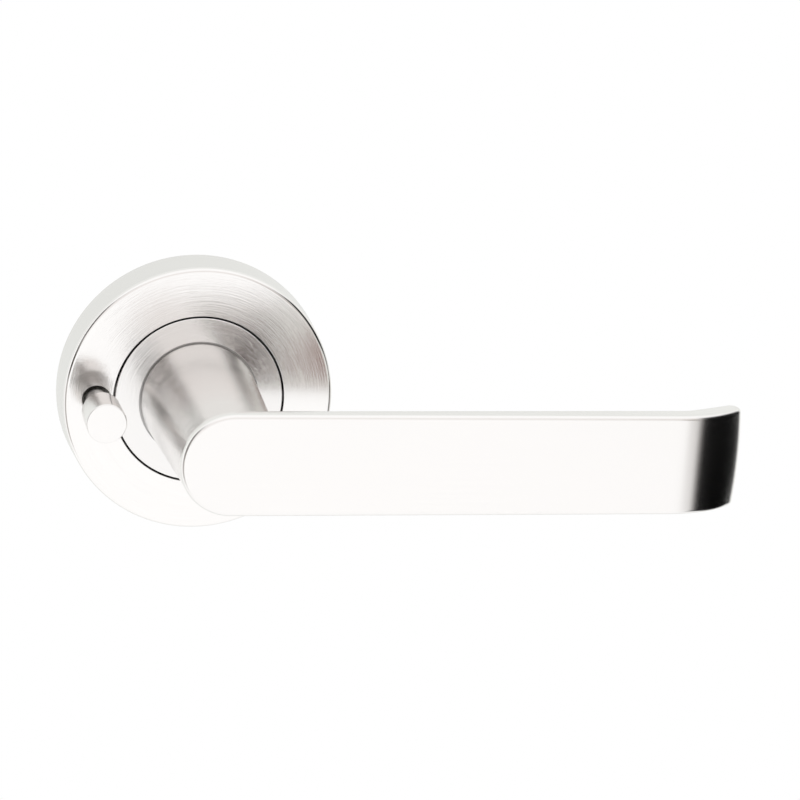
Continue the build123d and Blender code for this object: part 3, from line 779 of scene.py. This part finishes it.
def spring_steel(colours):
    """Drawn spring wire: dark and oiled, with a mottled gloss."""
    material, shader = new_finish("spring_steel")
    place = shader.place()
    mottle = shader.noise(place, scale=700.0, detail=4.0, rough=0.6)
    shader.surface(
        Base_Color=shader.tint(mottle, shaded(colours.spring, 0.7), shaded(colours.spring, 1.3)),
        Metallic=1.0,
        Roughness=0.24 + mottle * 0.2,
        Normal=shader.bump(mottle, 4e-6),
    )
    return material


def moulded_nylon(colours):
    """Natural nylon: warm white, a little glossy, with a faint moulded grain."""
    material, shader = new_finish("moulded_nylon")
    place = shader.place()
    grain = shader.noise(place, scale=1800.0, detail=3.0)
    tone = shader.noise(place, scale=140.0)
    shader.surface(
        Base_Color=shader.tint(tone, shaded(colours.nylon, 0.93), shaded(colours.nylon, 1.05)),
        Roughness=0.42 + (grain - 0.5) * 0.2,
        Normal=shader.bump(grain, 12e-6),
    )
    return material


def dress(material, *nodes):
    """Gives nodes of the frame a finish."""
    for name in nodes:
        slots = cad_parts[name].data.materials
        slots.clear()
        slots.append(material)


# Operators
class LeverBuild(bpy.types.Operator):
    """Builds the lever, with its blade brushed along and its neck brushed round"""

    bl_idname = "door_lever.lever"
    bl_label = "Lever"

    def execute(self, context):
        """Makes the piece and its three finishes: the blade's back is smoother than its front."""
        colours = context.scene.door_colours
        neck = turned_steel(colours, "neck_steel", pitch=0.20 * MM, roughness=0.14, depth=40e-6, tone=0.97)
        blade = blade_steel(colours, "blade_steel", roughness=0.22, grain=0.75)
        back = blade_steel(colours, "blade_back_steel", roughness=0.14, grain=0.3)
        surface = lever_surface(context.scene.door_lever)
        surface.piece("lever", "lever", "satin_steel", "lever_handle", blade, neck, back)
        return {"FINISHED"}


class RoseBuild(bpy.types.Operator):
    """Builds the rose cover and the flange that turns in it"""

    bl_idname = "door_lever.rose"
    bl_label = "Rose"

    def execute(self, context):
        """Makes both pieces. The cover's side and edge and the flange's hollow have finishes of their own;
        the hollow's is darkened as painted shade in the gap round the neck's foot.
        """
        sizes, colours = context.scene.door_rose, context.scene.door_colours
        pitch = 0.24 * MM
        cover = turned_steel(colours, "cover_steel", pitch, roughness=0.14, depth=26e-6)
        flange = turned_steel(colours, "flange_steel", pitch, roughness=0.13, depth=32e-6, tone=0.95)
        side = turned_steel(colours, "cover_side_steel", pitch, roughness=0.24, depth=12e-6, tone=0.93)
        edge = turned_steel(colours, "cover_edge_steel", pitch, roughness=0.14, depth=3e-6)
        cover_surface(sizes).piece("cover", "rose", "satin_steel", "rose_cover", cover, side, edge)
        # Painted shade: the hollow round the neck's foot is darkened to a tone of 0.55 so that the gap looks
        # dark.
        seat = turned_steel(colours, "painted_shade_seat_steel", pitch, roughness=0.30, depth=6e-6, tone=0.55)
        surface = flange_surface(sizes, context.scene.door_lever)
        surface.piece("flange", "lever", "satin_steel", "neck_flange", flange, seat)
        return {"FINISHED"}


class PinBuild(bpy.types.Operator):
    """Builds the privacy pin's knob and stem"""

    bl_idname = "door_lever.pin"
    bl_label = "Privacy pin"

    def execute(self, context):
        """Makes both pieces, with their lines round the pin's own axis."""
        sizes, colours = context.scene.door_pin, context.scene.door_colours
        centre = (PIN_X, 0, 0)
        knob = turned_steel(
            colours, "knob_steel", pitch=0.12 * MM, roughness=0.22, depth=3e-6, centre=centre
        )
        # Painted shade: the stem's steel is darkened to a tone of 0.62 for the narrow gap between the knob
        # and the rose where it shows.
        stem = turned_steel(
            colours, "stem_painted_shade_steel", pitch=0.20 * MM, roughness=0.26, depth=6e-6, tone=0.62, centre=centre
        )
        knob_surface(sizes).piece("pin_knob", "privacy_pin", "satin_steel", "privacy_knob", knob)
        stem_surface(sizes).piece("pin_stem", "privacy_pin", "satin_steel", "privacy_stem", stem)
        return {"FINISHED"}


class FixingsBuild(bpy.types.Operator):
    """Builds the threaded bolts and finishes the other plated pieces"""

    bl_idname = "door_lever.fixings"
    bl_label = "Fixings"

    def execute(self, context):
        """Makes the bolts; the pieces that are plain in the frame keep their shape and get the plating."""
        plated = plated_steel(context.scene.door_colours)
        bolt_surface(context.scene.door_rose).piece("bolts", "rose", "plated_steel", "fixing_bolts", plated)
        dress(plated, "spindle", "spindle_grub_screw", "follower_circlip", "thrust_washer")
        dress(plated, "stop_pins", "cover_snap_ring", "stem_e_clip")
        return {"FINISHED"}


class WorksBuild(bpy.types.Operator):
    """Finishes the castings, springs and bearings inside the rose"""

    bl_idname = "door_lever.works"
    bl_label = "Works"

    def execute(self, context):
        """Gives each group of inner pieces its finish."""
        colours = context.scene.door_colours
        dress(zinc_casting(colours), "base_plate", "spring_follower")
        dress(spring_steel(colours), "return_spring", "detent_clip", "wave_washer")
        dress(moulded_nylon(colours), "bearing_bush", "guide_bush")
        return {"FINISHED"}


class StageBuild(bpy.types.Operator):
    """Sets the camera, the white surround, the floor and the cards"""

    bl_idname = "door_lever.stage"
    bl_label = "Stage"

    def execute(self, context):
        """Makes the camera at the viewing angle, the world, the floor and the cards that steel mirrors."""
        studio = context.scene.door_studio
        place_camera(context.scene)
        light_surround(context.scene, studio)
        lay_floor(studio)
        hang_cards()
        context.scene.view_settings.view_transform = "Standard"
        return {"FINISHED"}


# Stage
CAMERA_TARGET = Vector((51.4926 * MM, 0, -3.2452 * MM))
CAMERA_DISTANCE = 733.727 * MM
CAMERA_AZIMUTH = radians(-13.8832)
CAMERA_ELEVATION = radians(16.60)
CAMERA_ROLL = radians(4.2924)
CAMERA_LENS = 135.468

# Dark patches of the surround: headings from and to, heights from and to and softness, in degrees, and colour
DARK_PATCHES = {
    "grey at the lower right": (43, 103, -50, -14, 5, (0.50, 0.48, 0.47)),
    "dark at the right": (30, 92, -14, -5, 4, (0.22, 0.18, 0.15)),
    "black at the right": (30, 92, -5, 32, 4, (0.0, 0.0, 0.0)),
    "light brown at the lower left": (-70, -34, -36, -8, 5, (0.50, 0.47, 0.45)),
    "brown at the left": (-68, -29, -8, 12, 3, (0.03, 0.02, 0.01)),
    "dark at the upper left": (-76, -25, 12, 38, 5, (0.04, 0.035, 0.03)),
    "dim band in front": (-45, 45, 3, 36, 6, (0.95, 0.92, 0.905)),
    "dim patch in front": (20, 38, -4, 14, 5, (0.50, 0.46, 0.43)),
}

# Small cards near the object, which only reflections see, and from one side: how many times light has bounced
# before it sees the card, the axis that the card is square to, its place on it, whether the side towards
# +axis is the one seen, where it fades in and out along each of the other two axes, all in millimetres, and
# its colour
CARDS = {
    "card_beside_tip": (1, 0, 142, False, (-104, -88.5, -52, -48), (-56, -46, 18, 28), (0.0, 0.0, 0.0)),
    # Painted shadow: this dark card on the door's plane behind the blade stands for the blade's shadow on the
    # door, and the steel mirrors it.
    "blade_shadow_card": (2, 1, 0, False, (40, 50, 68, 84), (-28, -23, -12, -8), (0.16, 0.02, 0.0)),
    # Painted shade: this dark card just in front of the rose's lower right stands for the shade under the
    # blade there, which the flange and the rose mirror.
    "rose_shade_card": (2, 1, -14, False, (17, 21, 31, 35), (-26, -22, -9, -6), (0.03, 0.0, 0.0)),
    "card_at_left": (2, 1, -104, True, (-66, -46, -40, -31), (-26, -6, 44, 56), (0.05, 0.03, 0.02)),
    "card_at_lower_left": (2, 1, -104, True, (-69, -61, -52, -42), (-36, -27, -10, -2), (0.05, 0.03, 0.02)),
    "card_at_right": (2, 1, -104, True, (30, 38, 48, 60), (4, 10, 26, 40), (0.0, 0.0, 0.0)),
}


def place_camera(scene):
    """Stands the camera on a sphere about its target and rolls it about its line of sight."""
    flat = cos(CAMERA_ELEVATION)
    back = Vector((sin(CAMERA_AZIMUTH) * flat, -cos(CAMERA_AZIMUTH) * flat, sin(CAMERA_ELEVATION)))
    data = bpy.data.cameras.new("camera")
    data.lens = CAMERA_LENS
    camera = new_object("camera", data)
    stand = Matrix.Translation(CAMERA_TARGET + back * CAMERA_DISTANCE)
    upright = (-back).to_track_quat("-Z", "Y").to_matrix().to_4x4()
    camera.matrix_world = stand @ upright @ Matrix.Rotation(CAMERA_ROLL, 4, "Z")
    scene.camera = camera


def surround_tone(shader, direction, studio):
    """Colour of the surround in a direction: white, dimmer above and behind, with soft-edged dark patches.

    The heading of a direction is 0 towards the room and grows towards +X, and its height is 0 when level.
    """
    x, y, z = shader.split(direction)
    heading = x.maths("ARCTAN2", x, 0 - y)
    height = z.maths("ARCSINE", z)
    bright = (studio.surround,) * 3
    tone = shader.tint(height.rises(-0.2, 0.3), bright, shaded(bright, studio.above))
    tone = shader.tint(y.rises(-0.1, 0.5), tone, tuple(studio.behind))
    for near, far, low, high, soft, patch in DARK_PATCHES.values():
        across = [radians(end) for end in (near - soft, near + soft, far - soft, far + soft)]
        up = [radians(end) for end in (low - soft, low + soft, high - soft, high + soft)]
        tone = shader.tint(heading.within(*across) * height.within(*up), tone, patch)
    return tone


def light_surround(scene, studio):
    """The surround as light. The camera itself sees plain white."""
    world = bpy.data.worlds.new("surround")
    world.use_nodes = True
    scene.world = world
    shader = Shader(world.node_tree)
    tone = surround_tone(shader, shader.node("ShaderNodeTexCoord", output="Generated"), studio)
    camera = shader.node("ShaderNodeLightPath", output="Is Camera Ray")
    seen = shader.node("ShaderNodeBackground", sockets={"Color": (1, 1, 1, 1)})
    lit = shader.node("ShaderNodeBackground", sockets={"Color": tone})
    both = shader.node("ShaderNodeMixShader", sockets={0: camera, 1: lit, 2: seen})
    shader.node("ShaderNodeOutputWorld", sockets={"Surface": both})


def lay_floor(studio):
    """A level floor well below the object, a square sheet of points. The camera sees it white, and steel sees
    it as part of the surround."""
    span = np.linspace(-studio.floor_half, studio.floor_half, FLOOR_POINTS)
    x, y = np.meshgrid(span, span, indexing="ij")
    sheet = Surface()
    sheet.add(np.stack([x, y, np.full_like(x, -studio.floor_drop)], axis=-1))
    mesh = bpy.data.meshes.new("floor")
    mesh.from_pydata(sheet.points[0], [], sheet.faces[0].tolist())
    material, shader = new_finish("pale_floor")
    paths = shader.node("ShaderNodeLightPath").socket.node.outputs
    camera, glossy = (Wire(shader, paths[name]) for name in ("Is Camera Ray", "Is Glossy Ray"))
    direction = shader.node("ShaderNodeVectorMath", {"operation": "NORMALIZE"}, {0: shader.place()})
    tone = shader.tint(camera, surround_tone(shader, direction, studio), (1, 1, 1))
    seen = camera + glossy + Wire(shader, paths["Is Transmission Ray"])
    matt = shader.node("ShaderNodeBsdfDiffuse", sockets={"Color": (*studio.floor, 1)})
    white = shader.node("ShaderNodeEmission", sockets={"Color": tone})
    both = shader.node("ShaderNodeMixShader", sockets={0: seen, 1: matt, 2: white})
    shader.node("ShaderNodeOutputMaterial", sockets={"Surface": both})
    mesh.materials.append(material)
    floor = new_object("floor", mesh)


def hang_cards():
    """Flat cards with soft edges. Along each of its two axes a card rises from clear to full and falls back.
    Light that has bounced fewer times than its number, or that meets its other side, passes through it."""
    for name, (seen_after, axis, place, ahead, *fades, tone) in CARDS.items():
        others = [other for other in range(3) if other != axis]
        corners = np.full((2, 2, 3), place * MM)
        corners[..., others[0]] = np.array([fades[0][0], fades[0][3]])[:, None] * MM
        corners[..., others[1]] = np.array([fades[1][0], fades[1][3]]) * MM
        mesh = bpy.data.meshes.new(name)
        order = (0, 1, 3, 2) if ahead == (axis == 1) else (0, 2, 3, 1)
        mesh.from_pydata(corners.reshape(-1, 3), [], [order])
        material, shader = new_finish(name)
        parts = shader.split(shader.place())
        bounces = shader.node("ShaderNodeLightPath", output="Ray Depth")
        behind = shader.node("ShaderNodeNewGeometry", output="Backfacing")
        full = bounces.maths("GREATER_THAN", bounces, seen_after - 0.5) * (1 - behind)
        for other, ends in zip(others, fades):
            full = full * parts[other].within(*(end * MM for end in ends))
        clear = shader.node("ShaderNodeBsdfTransparent")
        dark = shader.node("ShaderNodeEmission", sockets={"Color": (*tone, 1)})
        both = shader.node("ShaderNodeMixShader", sockets={0: full, 1: clear, 2: dark})
        shader.node("ShaderNodeOutputMaterial", sockets={"Surface": both})
        mesh.materials.append(material)
        card = new_object(name, mesh)


class DoorLeverPanel(bpy.types.Panel):
    """Lists the operators and the settings"""

    bl_idname = "VIEW3D_PT_door_lever"
    bl_label = "Door Lever"
    bl_space_type = "VIEW_3D"
    bl_region_type = "UI"
    bl_category = "Door Lever"

    def draw(self, context):
        """One button for each operator, then each group's settings, which follow its rna_type and name."""
        for operator in OPERATORS:
            self.layout.operator(operator.bl_idname)
        for name in SETTINGS:
            group = getattr(context.scene, name)
            box = self.layout.box()
            for prop in group.bl_rna.properties.keys()[2:]:
                box.prop(group, prop)


SETTINGS = {
    "door_lever": LeverSizes,
    "door_rose": RoseSizes,
    "door_pin": PinSizes,
    "door_colours": FinishColours,
    "door_studio": StudioSettings,
}
OPERATORS = (LeverBuild, RoseBuild, PinBuild, FixingsBuild, WorksBuild, StageBuild)


def register():
    """Registers the classes and hangs the settings on the scene."""
    for cls in (*SETTINGS.values(), *OPERATORS, DoorLeverPanel):
        bpy.utils.register_class(cls)
    for name, cls in SETTINGS.items():
        setattr(bpy.types.Scene, name, bpy.props.PointerProperty(type=cls))


def unregister():
    """Takes the settings off the scene and unregisters the classes."""
    for name in SETTINGS:
        delattr(bpy.types.Scene, name)
    for cls in reversed((*SETTINGS.values(), *OPERATORS, DoorLeverPanel)):
        bpy.utils.unregister_class(cls)


def main():
    """Builds the pieces in order, then the stage."""
    register()
    bpy.ops.door_lever.lever()
    bpy.ops.door_lever.rose()
    bpy.ops.door_lever.pin()
    bpy.ops.door_lever.fixings()
    bpy.ops.door_lever.works()
    bpy.ops.door_lever.stage()


if __name__ == "__main__":
    main()
